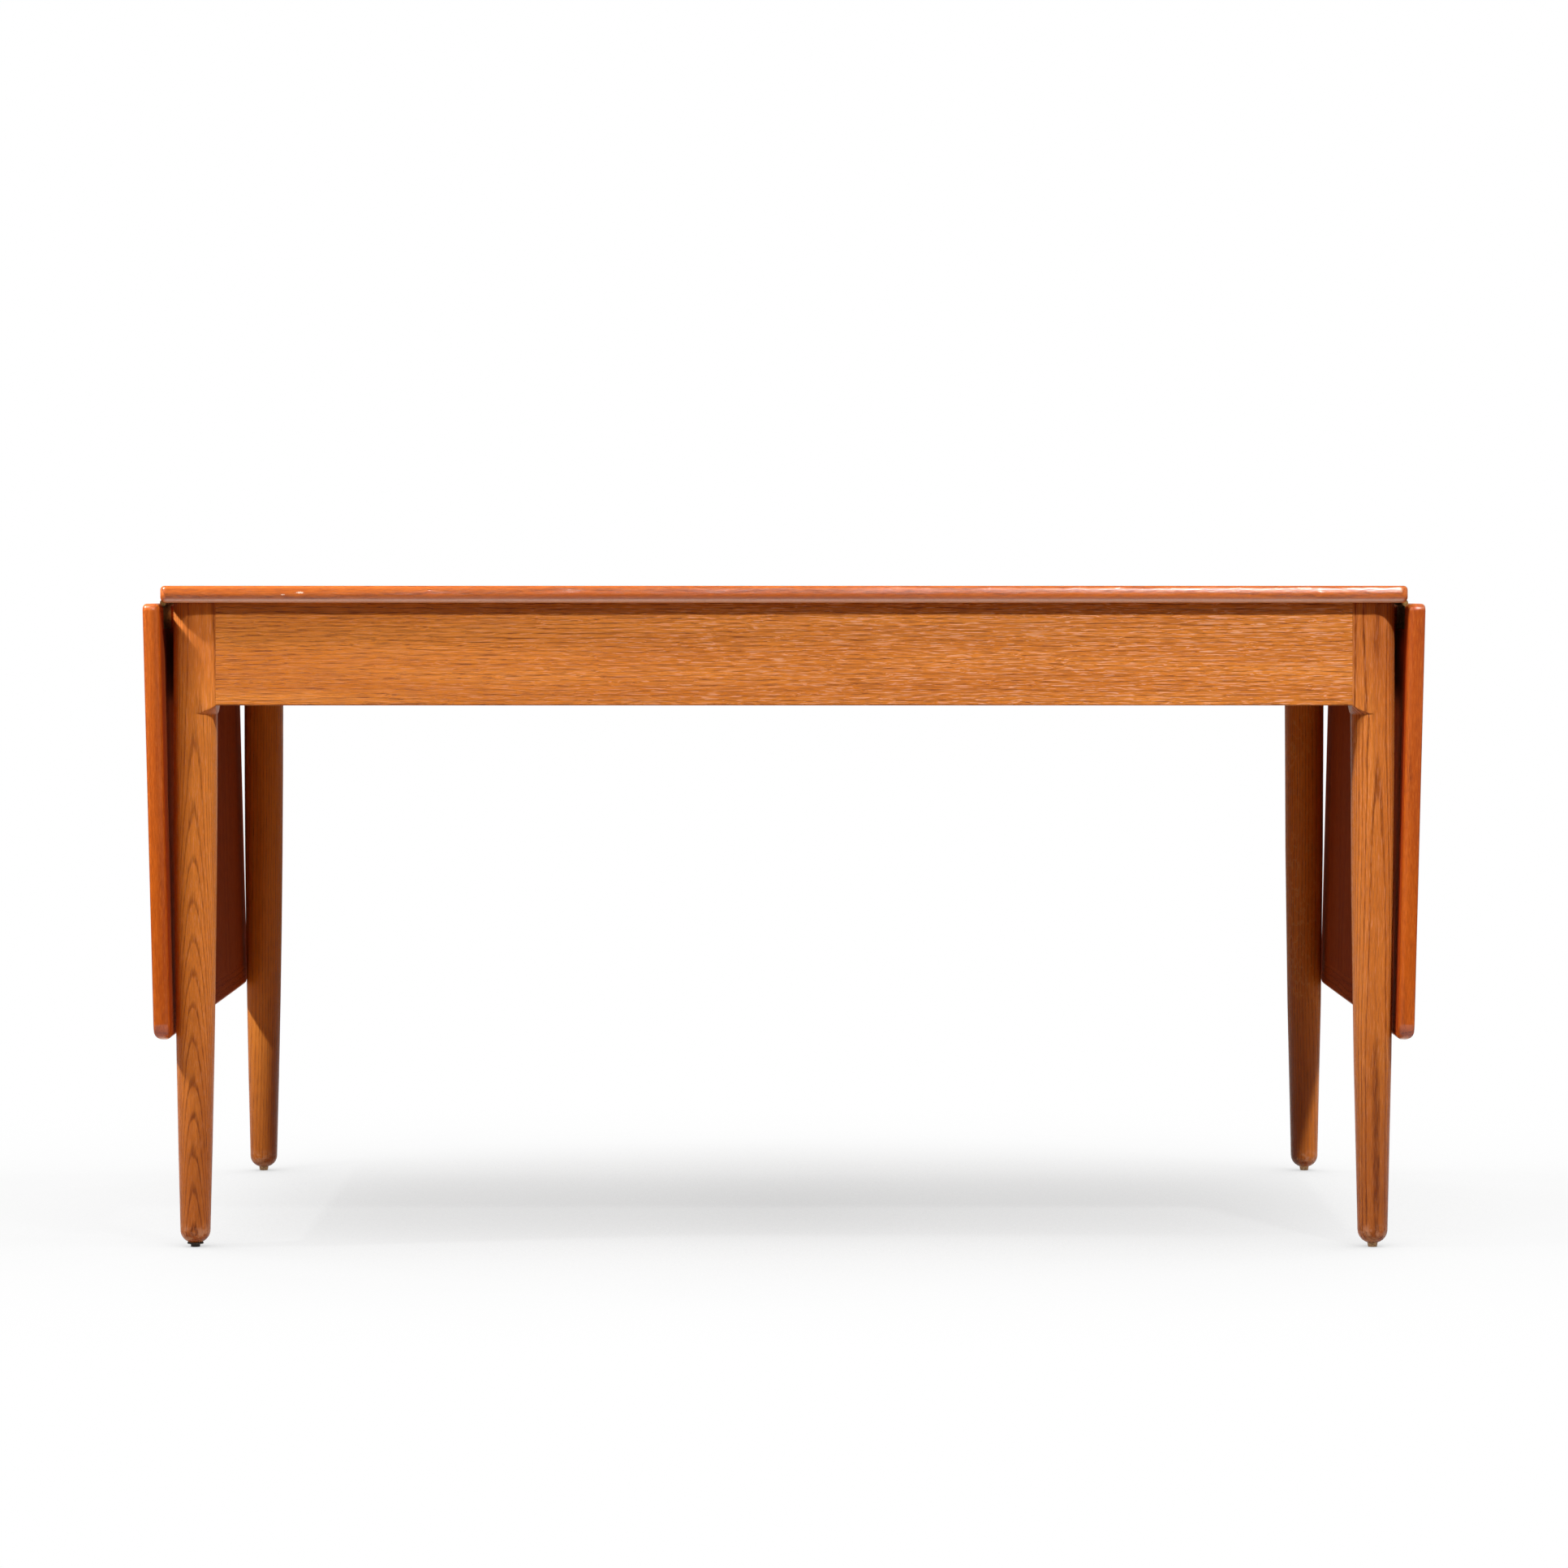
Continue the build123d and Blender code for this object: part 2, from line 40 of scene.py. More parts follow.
class Shader:
    """Adds nodes to one material and links them in short calls."""

    def __init__(self, name):
        self.material = bpy.data.materials.new(name)
        self.material.use_nodes = True
        self.tree = self.material.node_tree
        self.surface = self.tree.nodes["Principled BSDF"]
        coordinates = self.tree.nodes.new("ShaderNodeTexCoord")
        self.place = coordinates.outputs["Object"]
        self.outward = coordinates.outputs["Normal"]

    def node(self, kind, **settings):
        made = self.tree.nodes.new(kind)
        for key, value in settings.items():
            setattr(made, key, value)
        return made

    def feed(self, socket, value):
        """Link a socket to another one, or set it to a plain value."""
        if isinstance(value, bpy.types.NodeSocket):
            self.tree.links.new(value, socket)
        else:
            socket.default_value = value

    def math(self, operation, first, second=0.0, third=0.0, clamp=False):
        made = self.node("ShaderNodeMath", operation=operation, use_clamp=clamp)
        for socket, value in zip(made.inputs, (first, second, third)):
            self.feed(socket, value)
        return made.outputs[0]

    def ramp_to(self, value, low, high, to_low=0.0, to_high=1.0):
        """Value carried smoothly from the span low..high to another span."""
        made = self.node("ShaderNodeMapRange", interpolation_type="SMOOTHSTEP")
        for socket, number in zip(made.inputs, (value, low, high, to_low, to_high)):
            self.feed(socket, number)
        return made.outputs[0]

    def vector(self, operation, first, second=None):
        made = self.node("ShaderNodeVectorMath", operation=operation)
        self.feed(made.inputs[0], first)
        if second is not None:
            self.feed(made.inputs[1], second)
        return made.outputs["Value" if operation in ("LENGTH", "DOT_PRODUCT") else "Vector"]

    def split(self, vector):
        made = self.node("ShaderNodeSeparateXYZ")
        self.feed(made.inputs[0], vector)
        return made.outputs

    def join(self, x, y, z):
        made = self.node("ShaderNodeCombineXYZ")
        for socket, value in zip(made.inputs, (x, y, z)):
            self.feed(socket, value)
        return made.outputs[0]

    def turned(self, axes, origin):
        """Object coordinates read along three axes from an origin."""
        turn = Matrix(axes)
        made = self.node("ShaderNodeMapping")
        self.feed(made.inputs["Vector"], self.place)
        made.inputs["Rotation"].default_value = turn.to_euler("XYZ")
        made.inputs["Location"].default_value = -(turn @ origin)
        return made.outputs[0]

    def noise(self, vector, scale=1.0, detail=2.0, roughness=0.5):
        made = self.node("ShaderNodeTexNoise")
        self.feed(made.inputs["Vector"], vector)
        made.inputs["Scale"].default_value = scale
        made.inputs["Detail"].default_value = detail
        made.inputs["Roughness"].default_value = roughness
        return made.outputs[0]

    def mix(self, factor, first, second, blend="MIX"):
        made = self.node("ShaderNodeMix", data_type="RGBA", blend_type=blend)
        self.feed(made.inputs[0], factor)
        for socket, value in zip(made.inputs[6:8], (first, second)):
            self.feed(socket, value if isinstance(value, bpy.types.NodeSocket) else (*value, 1.0))
        return made.outputs[2]

    def bump(self, height, strength=1.0, distance=1.0, softened=0.0):
        """Relief on the surface, over creases softened to a radius where one is given."""
        made = self.node("ShaderNodeBump")
        if softened:
            creases = self.node("ShaderNodeBevel", samples=CREASE_SAMPLES)
            creases.inputs["Radius"].default_value = softened
            self.feed(made.inputs["Normal"], creases.outputs[0])
        made.inputs["Strength"].default_value = strength
        made.inputs["Distance"].default_value = distance
        self.feed(made.inputs["Height"], height)
        self.feed(self.surface.inputs["Normal"], made.outputs[0])
        self.feed(self.surface.inputs["Coat Normal"], made.outputs[0])


# The woods: colours as linear red, green and blue, sizes in metres or counts per metre
OAK = {
    "light": (0.732, 0.258, 0.039),
    "mid": (0.583, 0.179, 0.022),
    "line": (0.260, 0.060, 0.010),
    "pore": (0.150, 0.033, 0.008),
    # pale pink of the painted glints on the ridges beside the pores
    "ridge": (0.850, 0.520, 0.360),
    "ring": 0.0042,
    "wave": 0.014,
    "ripple": 0.0065,
    "lines": 0.55,
    "pores": 0.72,
    "ridge_glints": 0.30,
    "pore_across": 1150.0,
    "pore_along": 36.0,
    "flecks": 0.0,
    "emboss": 0.00022,
    "roughness": 0.25,
    "specular": 0.18,
    "coat": 0.0,
}
TEAK = {
    "light": (0.610, 0.154, 0.019),
    "mid": (0.455, 0.097, 0.011),
    "line": (0.200, 0.034, 0.005),
    "pore": (0.150, 0.025, 0.004),
    # tone of the painted glints on the ridges beside the pores
    "ridge": (0.720, 0.230, 0.040),
    "ring": 0.0036,
    "wave": 0.013,
    "ripple": 0.0020,
    "lines": 0.45,
    "pores": 0.45,
    "ridge_glints": 0.25,
    "pore_across": 1100.0,
    "pore_along": 90.0,
    "flecks": 0.0,
    "emboss": 0.00010,
    "roughness": 0.32,
    "dull": 0.55,
    "specular": 0.10,
    "coat": 0.34,
    # strength of the painted reflection on edges that face the floor
    "edge_reflection": 0.85,
}
LEAF_TEAK = dict(TEAK, light=(0.545, 0.114, 0.007), mid=(0.404, 0.069, 0.004), coat=0.28)
VENEER = dict(TEAK, ring=0.0050, wave=0.026, lines=0.60, coat=0.0)
BEECH = dict(OAK, light=(0.560, 0.300, 0.125), mid=(0.470, 0.230, 0.086), line=(0.340, 0.140, 0.046),
             pore=(0.280, 0.110, 0.036), ridge=(0.400, 0.180, 0.066), ring=0.004, wave=0.008,
             ripple=0.001, lines=0.30, pores=0.20, ridge_glints=0.0, flecks=0.25, emboss=0.00005,
             roughness=0.62, specular=0.25)
LEG_OAK = dict(OAK, ripple=0.0012, pores=0.45, ridge_glints=0.15, pore_along=56.0)
STACKED = dict(LEG_OAK, light=(0.790, 0.272, 0.048), mid=(0.620, 0.192, 0.032), ring=0.0026,
               wave=0.011, lines=0.75)
STRAIGHT = dict(LEG_OAK, light=(0.680, 0.228, 0.042), mid=(0.530, 0.158, 0.028), ring=0.0040,
                wave=0.018, lines=0.90, pores=0.60)
# Painted light: a brighter tone for the back legs, which stand in the table's shade; their flecks are
# real
FLECKED_LIT = dict(LEG_OAK, light=(0.920, 0.325, 0.050), mid=(0.745, 0.233, 0.031), ring=0.0034,
               wave=0.016, lines=0.45, pores=0.30, flecks=0.55, ridge=(0.900, 0.430, 0.120))

# Grain: counts per metre towards the facing side, across it and along the grain
WANDER_SCALE = (7.0, 7.0, 1.6)
RIPPLE_SCALE = (80.0, 80.0, 19.0)
BAND_SCALE = (46.0, 46.0, 2.2)
STREAK_SCALE = (300.0, 300.0, 9.0)
PATCH_SCALE = (9.0, 9.0, 5.0)

# Fine pores, as multiples of the large pores' counts
FINE_SCALE = (2.6, 2.6, 2.4)

# Rays: counts round the pith, out from it and along the grain
RAY_COUNTS = (40.0, 90.0, 55.0)

# Parts of a ring's width taken by its first and last wood
EARLY_WOOD = (0.0, 0.30)
LATE_WOOD = (0.88, 1.0)

# Spans of a noise over which each mark sets in
PORE_SPAN = (0.52, 0.61)
RIDGE_GLINT_SPAN = (0.46, 0.33)
FINE_SPAN = (0.54, 0.70)
BAND_SPAN = (0.30, 0.72)
STREAK_SPAN = (0.42, 0.70)
RAY_SPAN = (0.035, 0.012)
RAY_PATCHES = (-0.02, 0.10)
LINE_PATCHES = (-0.25, 0.2)

# How strongly the marks show
LINE_STRENGTHS = (0.7, 1.3)
LINE_BREAKS = (1.1, 0.25)
STREAK_WEIGHT = 0.45
FINE_WEIGHT = 0.30
PORE_CROWDING = 0.5
GLINT_GROWTH_STRENGTHS = (0.5, 2.0)

# Step along the grain from one leaf of veneer to the next, and the length over which a lean dies out
LEAF_SHIFT = 0.013
LEAN_BLEND = 0.25

# Share of the slow patches and pores in the roughness, and of the fine pores in the relief
PATCH_ROUGHNESS = 0.16
PORE_ROUGHNESS = 0.22
FINE_RELIEF = 0.25

# Slight crown that hand scraping leaves on a board's edge
CROWN_RADIUS = 0.013
CROWN_REACH = 0.005
CROWN_BLEND = 0.003

# Lacquer on the edges of the boards
COAT_ROUGHNESS = 0.12
COAT_IOR = 2.4
REFLECTING_EDGE_COAT = 0.9

# Heights between which painted shade darkens the legs towards the floor
LOW_SHADE_FROM = 0.36
LOW_SHADE_TO = 0.03
LOW_SHADE_TONE = (0.60, 0.52, 0.44)

# Heights between which painted shade darkens the legs into their heads
HEAD_SHADE_FROM = 0.60
HEAD_SHADE_TO = 0.67
HEAD_SHADE_TONE = (0.86, 0.80, 0.84)

# Heights between which the feet are scuffed pale in patches
SCUFF_FROM = 0.030
SCUFF_TO = 0.010
SCUFF_TONE = (0.66, 0.40, 0.28)
SCUFF_WEIGHT = 0.55
SCUFF_GRAIN = 130.0
SCUFF_PATCHES = (0.40, 0.62)

# Ragged pale chips
CHIP_TONE = (0.86, 0.66, 0.55)
CHIP_GRAIN = 900.0
CHIP_RAGGED = 1.4
CHIP_SPAN = (1.0, 0.6)

# Boards: tones of the painted reflection on edges that face the floor, of the painted shade on undersides
# and good faces, and how squarely a surface faces each
EDGE_REFLECTION_TONE = (0.95, 0.56, 0.42)
EDGE_REFLECTION_SPAN = (0.72, 0.98)
REFLECTION_IN_PORES = 0.6
UNDERSIDE_SHADE = (0.78, 0.55, 0.38)
UNDERSIDE_SPAN = (-0.85, -0.98)
FACE_SHADE = (0.68, 0.69, 0.75)
FACE_SPAN = (0.80, 0.98)
EDGE_SPAN = (0.80, 0.40)


class Wood(Shader):
    """A solid wood: growth rings about a pith, drawn-out pores, rays and slow shifts of colour."""

    def __init__(self, name, look):
        super().__init__(name)
        self.look = look
        self.colour = None
        self.edge_reflection = None

    def tint(self, factor, tone, blend="MIX"):
        """Bring a tone into the colour so far."""
        self.colour = self.mix(factor, self.colour, tone, blend)

    def lay_grain(self, along, facing, pith, tilt, lean, straight_from, seed, strips):
        """Coordinates from the pith, with a slow wander that is long along the grain."""
        across = along.cross(facing).normalized()
        inward, sideways, length = self.split(self.turned((facing, across, along), pith))
        self.drawn_length = length
        if strips:
            leaf_of = self.math("FLOOR", self.math("DIVIDE", sideways, strips))
            sideways = self.math("PINGPONG", sideways, strips)
            length = self.math("MULTIPLY_ADD", leaf_of, LEAF_SHIFT, length)
        if tilt or lean:
            run = self.math("SMOOTH_MIN", length, straight_from, LEAN_BLEND)
            inward = self.math("MULTIPLY_ADD", run, -tilt, inward)
            sideways = self.math("MULTIPLY_ADD", run, -lean, sideways)
        length = self.math("ADD", length, seed)
        self.spot = self.join(inward, sideways, length)
        wander = self.noise(self.vector("MULTIPLY", self.spot, WANDER_SCALE), detail=3.0, roughness=0.55)
        self.wander = self.math("SUBTRACT", wander, NOISE_MIDDLE)
        ripple = self.noise(self.vector("MULTIPLY", self.spot, RIPPLE_SCALE))
        ripple = self.math("SUBTRACT", ripple, NOISE_MIDDLE)
        shift = self.math("MULTIPLY", self.wander, self.look["wave"])
        shift = self.math("MULTIPLY_ADD", ripple, self.look["ripple"], shift)
        radius = self.vector("LENGTH", self.join(inward, sideways, 0.0))
        self.radius = self.math("ADD", radius, shift)
        self.inward = inward
        self.sideways = sideways
        self.length = length
        shifted_inward = self.math("ADD", inward, shift)
        shifted_sideways = self.math("ADD", sideways, shift)
        self.streaked = self.join(shifted_inward, shifted_sideways, length)

    def draw_rings(self):
        """Each ring starts with a dark porous line and grows paler."""
        in_ring = self.math("FRACT", self.math("DIVIDE", self.radius, self.look["ring"]))
        early = self.ramp_to(in_ring, *EARLY_WOOD, 1.0, 0.0)
        late = self.ramp_to(in_ring, *LATE_WOOD)
        self.line = self.math("MAXIMUM", early, late)

    def draw_pores(self):
        """Fine streaks drawn out along the grain, crowded in the dark lines."""
        pore_scale = (self.look["pore_across"], self.look["pore_across"], self.look["pore_along"])
        pore_spot = self.vector("MULTIPLY", self.streaked, pore_scale)
        self.pore_noise = self.noise(pore_spot, roughness=0.55)
        fine = self.noise(self.vector("MULTIPLY", pore_spot, FINE_SCALE), detail=1.0, roughness=0.4)
        self.fine = self.ramp_to(fine, *FINE_SPAN)
        crowd = self.math("MULTIPLY_ADD", self.line, PORE_CROWDING, 1.0 - PORE_CROWDING)
        self.pore = self.math("MULTIPLY", self.ramp_to(self.pore_noise, *PORE_SPAN), crowd)

    def draw_rays(self):
        """Pale flecks where the rays of the wood come to the surface."""
        angle = self.math("ARCTAN2", self.sideways, self.inward)
        along_rays = [self.math("MULTIPLY", value, count)
                      for value, count in zip((angle, self.radius, self.length), RAY_COUNTS)]
        off_ray = self.math("SUBTRACT", self.noise(self.join(*along_rays)), NOISE_MIDDLE)
        ray = self.ramp_to(self.math("ABSOLUTE", off_ray), *RAY_SPAN)
        ray = self.math("MULTIPLY", ray, self.ramp_to(self.wander, *RAY_PATCHES))
        self.tint(self.math("MULTIPLY", ray, self.look["flecks"]), self.look["ridge"])

    def colour_grain(self, glint_growth):
        """Colour from the slow bands up to the pores."""
        look = self.look
        band = self.noise(self.vector("MULTIPLY", self.streaked, BAND_SCALE), detail=4.0, roughness=0.6)
        self.colour = self.mix(self.ramp_to(band, *BAND_SPAN), look["light"], look["mid"])
        streak = self.noise(self.vector("MULTIPLY", self.streaked, STREAK_SCALE))
        streak = self.ramp_to(streak, *STREAK_SPAN)
        self.tint(self.math("MULTIPLY", streak, STREAK_WEIGHT), look["mid"])
        breaks = self.math("MULTIPLY_ADD", self.pore_noise, *LINE_BREAKS)
        broken = self.math("MULTIPLY", self.line, breaks)
        patches = self.ramp_to(self.wander, *LINE_PATCHES, *LINE_STRENGTHS)
        broken = self.math("MULTIPLY", broken, patches)
        self.tint(self.math("MULTIPLY", broken, look["lines"], clamp=True), look["line"])
        if look["flecks"]:
            self.draw_rays()
        # Painted highlight: pale glints on the ridges beside the pores, growing stronger along the grain
        # over the span given
        if look["ridge_glints"]:
            ridge = self.ramp_to(self.pore_noise, *RIDGE_GLINT_SPAN)
            ridge_glint = self.math("MULTIPLY", ridge, look["ridge_glints"])
            if glint_growth:
                strength = self.ramp_to(self.drawn_length, *glint_growth, *GLINT_GROWTH_STRENGTHS)
                ridge_glint = self.math("MULTIPLY", ridge_glint, strength)
            self.tint(ridge_glint, look["ridge"])
        self.tint(self.math("MULTIPLY", self.fine, FINE_WEIGHT * look["pores"]), look["line"])
        self.tint(self.math("MULTIPLY", self.pore, look["pores"]), look["pore"])

    def shade_and_scuff_leg(self):
        """Painted shade towards the floor and in the head, and scuffed at the foot."""
        height = self.split(self.place)[2]
        # Painted shade towards the floor and in the head
        self.tint(self.ramp_to(height, LOW_SHADE_FROM, LOW_SHADE_TO), LOW_SHADE_TONE, "MULTIPLY")
        self.tint(self.ramp_to(height, HEAD_SHADE_FROM, HEAD_SHADE_TO), HEAD_SHADE_TONE, "MULTIPLY")
        scuff = self.ramp_to(height, SCUFF_FROM, SCUFF_TO, 0.0, SCUFF_WEIGHT)
        patchy = self.noise(self.place, SCUFF_GRAIN, detail=3.0, roughness=0.6)
        scuff = self.math("MULTIPLY", scuff, self.ramp_to(patchy, *SCUFF_PATCHES))
        self.tint(scuff, SCUFF_TONE)

    def shade_board(self, good_face):
        """Painted shade on a board: its good face darkened against the stronger light there, and its
        underside darkened.
        """
        self.squareness = self.vector("DOT_PRODUCT", self.outward, good_face)
        self.underside = self.ramp_to(self.squareness, *UNDERSIDE_SPAN)
        # Painted shade on the underside and on the good face
        self.tint(self.underside, UNDERSIDE_SHADE, "MULTIPLY")
        self.tint(self.ramp_to(self.squareness, *FACE_SPAN), FACE_SHADE, "MULTIPLY")

    def paint_edge_reflection(self, reflecting_side):
        """Painted reflection of the pale floor on an edge that faces it, less so in its pores."""
        edge_reflection = self.vector("DOT_PRODUCT", self.outward, reflecting_side)
        edge_reflection = self.ramp_to(edge_reflection, *EDGE_REFLECTION_SPAN)
        in_pores = self.ramp_to(self.fine, 0.0, 1.0, 1.0, REFLECTION_IN_PORES)
        self.edge_reflection = self.math("MULTIPLY", edge_reflection, in_pores)
        # Painted reflection: the edge facing the floor is tinted pale
        self.tint(self.math("MULTIPLY", self.edge_reflection, self.look["edge_reflection"]), EDGE_REFLECTION_TONE)

    def chip(self, place, half_sizes):
        """A ragged pale chip at a place."""
        off = self.vector("DIVIDE", self.vector("SUBTRACT", self.place, place), half_sizes)
        grain = self.noise(self.place, CHIP_GRAIN)
        ragged = self.math("MULTIPLY_ADD", grain, CHIP_RAGGED, -CHIP_RAGGED / 2)
        reach = self.math("ADD", self.vector("LENGTH", off), ragged)
        self.tint(self.ramp_to(reach, *CHIP_SPAN), CHIP_TONE)

    def crown(self, good_face, middle):
        """Squared distance from a board's middle plane, held within the crown's reach."""
        off_middle = self.vector("DOT_PRODUCT", self.place, good_face)
        off_middle = self.math("ABSOLUTE", self.math("SUBTRACT", off_middle, middle))
        off_middle = self.math("SMOOTH_MIN", off_middle, CROWN_REACH, CROWN_BLEND)
        return self.math("MULTIPLY", off_middle, off_middle)

    def lacquer_edges(self):
        """Gloss on the edges of a board, strongest on edges that carry the painted reflection."""
        flatness = self.math("ABSOLUTE", self.squareness)
        gloss = self.ramp_to(flatness, *EDGE_SPAN, 0.0, self.look["coat"])
        if self.edge_reflection is not None:
            gloss = self.math("MAXIMUM", gloss, self.math("MULTIPLY", self.edge_reflection, REFLECTING_EDGE_COAT))
        self.feed(self.surface.inputs["Coat Weight"], gloss)
        self.surface.inputs["Coat Roughness"].default_value = COAT_ROUGHNESS
        self.surface.inputs["Coat IOR"].default_value = COAT_IOR

    def surface_finish(self, board, softened):
        """Rougher in the pores and in slow patches, and dull on an unpolished underside."""
        look = self.look
        self.feed(self.surface.inputs["Base Color"], self.colour)
        patch = self.noise(self.vector("MULTIPLY", self.spot, PATCH_SCALE), detail=3.0, roughness=0.6)
        rough = self.math("MULTIPLY_ADD", patch, PATCH_ROUGHNESS, look["roughness"] - PATCH_ROUGHNESS / 2)
        rough = self.math("MULTIPLY_ADD", self.pore, PORE_ROUGHNESS, rough)
        relief = self.math("MULTIPLY", self.fine, -FINE_RELIEF)
        relief = self.math("MULTIPLY_ADD", self.pore, -1.0, relief)
        relief = self.math("MULTIPLY", relief, look["emboss"])
        if board:
            rough = self.math("MULTIPLY_ADD", self.underside, look["dull"], rough)
            relief = self.math("MULTIPLY_ADD", self.crown(*board), -0.5 / CROWN_RADIUS, relief)
        self.feed(self.surface.inputs["Roughness"], rough)
        self.surface.inputs["Specular IOR Level"].default_value = look["specular"]
        if look["coat"]:
            self.lacquer_edges()
        self.bump(relief, softened=softened)


def wood(name, look, along, facing, pith, tilt=0.0, lean=0.0, straight_from=9.0, seed=0.0,
         strips=0.0, board=None, shaded_and_scuffed_leg=False, chips=(), softened=0.0, reflecting_side=None,
         glint_growth=None):
    """The material of one piece of wood.

    along is the direction of the grain and facing the side of the piece that shows most.
    pith is a point on the tree's middle line, which leans by tilt towards the facing side and
    by lean across it, up to straight_from along the grain. strips is the width of book-matched
    leaves of veneer, or 0 for none. board is the direction of a board's good face and how far
    its middle plane lies along it. shaded_and_scuffed_leg gives a leg painted shade towards the
    floor and in its head, and scuffs at the foot. chips are pale, each a place and its half
    sizes. softened is the radius that wear gives to creases.
    reflecting_side is the direction of an edge tinted with a painted reflection of the pale
    floor. glint_growth is the span along the grain over which the painted glints on the
    ridges between the pores grow stronger.
    """
    shader = Wood(name, look)
    shader.lay_grain(along, facing, pith, tilt, lean, straight_from, seed, strips)
    shader.draw_rings()
    shader.draw_pores()
    shader.colour_grain(glint_growth)
    if shaded_and_scuffed_leg:
        shader.shade_and_scuff_leg()
    if board:
        shader.shade_board(board[0])
    if reflecting_side:
        shader.paint_edge_reflection(reflecting_side)
    for place, half_sizes in chips:
        shader.chip(place, half_sizes)
    shader.surface_finish(board, softened)
    return shader.material


# Metal: blotches of tarnish over fine scratches along Y
BLOTCH_SPAN = (0.35, 0.68)
SCRATCH_SCALE = (3000.0, 160.0, 3000.0)
SCRATCH_ROUGHNESS = 0.10
SCRATCH_STRENGTH = 0.12
SCRATCH_DEPTH = 0.0001


def metal(name, bright, dull, rough, grain):
    """A worn metal; rough is its roughness where bright and where dull, grain its blotches a metre."""
    shader = Shader(name)
    blotch = shader.noise(shader.place, grain, detail=4.0, roughness=0.65)
    blotch = shader.ramp_to(blotch, *BLOTCH_SPAN)
    scratch = shader.noise(shader.vector("MULTIPLY", shader.place, SCRATCH_SCALE))
    shader.feed(shader.surface.inputs["Base Color"], shader.mix(blotch, bright, dull))
    roughness = shader.math("MULTIPLY_ADD", blotch, rough[1] - rough[0], rough[0])
    roughness = shader.math("MULTIPLY_ADD", scratch, SCRATCH_ROUGHNESS, roughness)
    shader.feed(shader.surface.inputs["Roughness"], roughness)
    shader.surface.inputs["Metallic"].default_value = 1.0
    shader.bump(scratch, SCRATCH_STRENGTH, SCRATCH_DEPTH)
    return shader.material


# Dark pad: its two tones, and the grit and scuffs a metre
PAD_TONE = (0.030, 0.022, 0.018)
PAD_SCUFFED = (0.110, 0.080, 0.060)
PAD_GRIT = 1400.0
PAD_SCUFFS = 260.0
PAD_SCUFF_SPAN = (0.52, 0.72)
PAD_ROUGHNESS = 0.55
GRIT_ROUGHNESS = 0.2
GRIT_STRENGTH = 0.25
GRIT_DEPTH = 0.0002


def dark_pad(name):
    """A scuffed dark pad with grit in its surface."""
    shader = Shader(name)
    grit = shader.noise(shader.place, PAD_GRIT, detail=3.0, roughness=0.6)
    scuff = shader.noise(shader.place, PAD_SCUFFS, detail=3.0, roughness=0.6)
    scuff = shader.ramp_to(scuff, *PAD_SCUFF_SPAN)
    shader.feed(shader.surface.inputs["Base Color"], shader.mix(scuff, PAD_TONE, PAD_SCUFFED))
    roughness = shader.math("MULTIPLY_ADD", grit, GRIT_ROUGHNESS, PAD_ROUGHNESS)
    shader.feed(shader.surface.inputs["Roughness"], roughness)
    shader.bump(grit, GRIT_STRENGTH, GRIT_DEPTH)
    return shader.material


def dress(node, material):
    """Give every slot of a CAD node one material."""
    mesh = nodes[node].data
    mesh.materials.clear()
    mesh.materials.append(material)


# Legs: the look of each, its pith off the leg's axis, and how the tree tilts and leans there
LEG_CUTS = {
    "leg_front_left": {"look": STACKED, "pith": (0.002, -0.125), "tilt": 0.090, "lean": 0.0},
    "leg_front_right": {"look": STRAIGHT, "pith": (0.010, -0.090), "tilt": 0.026, "lean": 0.004},
    "leg_back_left": {"look": FLECKED_LIT, "pith": (0.060, 0.012), "tilt": 0.010, "lean": 0.0},
    "leg_back_right": {"look": FLECKED_LIT, "pith": (-0.070, 0.020), "tilt": -0.012, "lean": 0.0},
}
LEG_PITH_HEIGHT = 0.25
LEG_STRAIGHT_FROM = 0.24
CREASE_WEAR = 0.003


def dress_legs():
    """Oak legs, each cut from its own part of a tree."""
    for number, (name, cut) in enumerate(LEG_CUTS.items()):
        low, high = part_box(name)
        middle = (low + high) / 2
        facing = Y_AXIS if "back" in name else -Y_AXIS
        pith = Vector((middle.x + cut["pith"][0], middle.y + cut["pith"][1], LEG_PITH_HEIGHT))
        dress(name, wood(f"oak_{name}", cut["look"], Z_AXIS, facing, pith, tilt=cut["tilt"],
                         lean=cut["lean"], straight_from=LEG_STRAIGHT_FROM, seed=0.7 * number,
                         shaded_and_scuffed_leg=True, softened=CREASE_WEAR))


# Aprons: how far the pith lies below them, and where along the long ones the painted glints on the ridges
# grow stronger
LONG_APRON_PITH = 0.45
END_APRON_PITH = 0.30
GLINT_GROWTH_SPAN = (-0.6, 0.3)


def dress_aprons():
    """Oak aprons with the grain along them."""
    for facing_name, facing in FACINGS:
        name = f"apron_{facing_name}"
        low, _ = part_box(name)
        pith = Vector((0.0, 0.0, low.z - LONG_APRON_PITH))
        dress(name, wood(f"oak_{name}", OAK, X_AXIS, Y_AXIS * facing, pith, seed=0.4 + facing,
                         glint_growth=GLINT_GROWTH_SPAN))
    for side_name, side in SIDES:
        name = f"apron_{side_name}"
        low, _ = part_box(name)
        pith = Vector((0.0, 0.0, low.z - END_APRON_PITH))
        dress(name, wood(f"oak_{name}", OAK, Y_AXIS, X_AXIS * side, pith, seed=2.3 + side))


# Beech: the pith of the trees behind the bars, rails and blocks
BAR_PITH = Vector((0, 0.9, 0.3))
RAIL_PITH = Vector((0.7, 0, 0.2))
BLOCK_PITH = Vector((0.2, 0.3, 0))


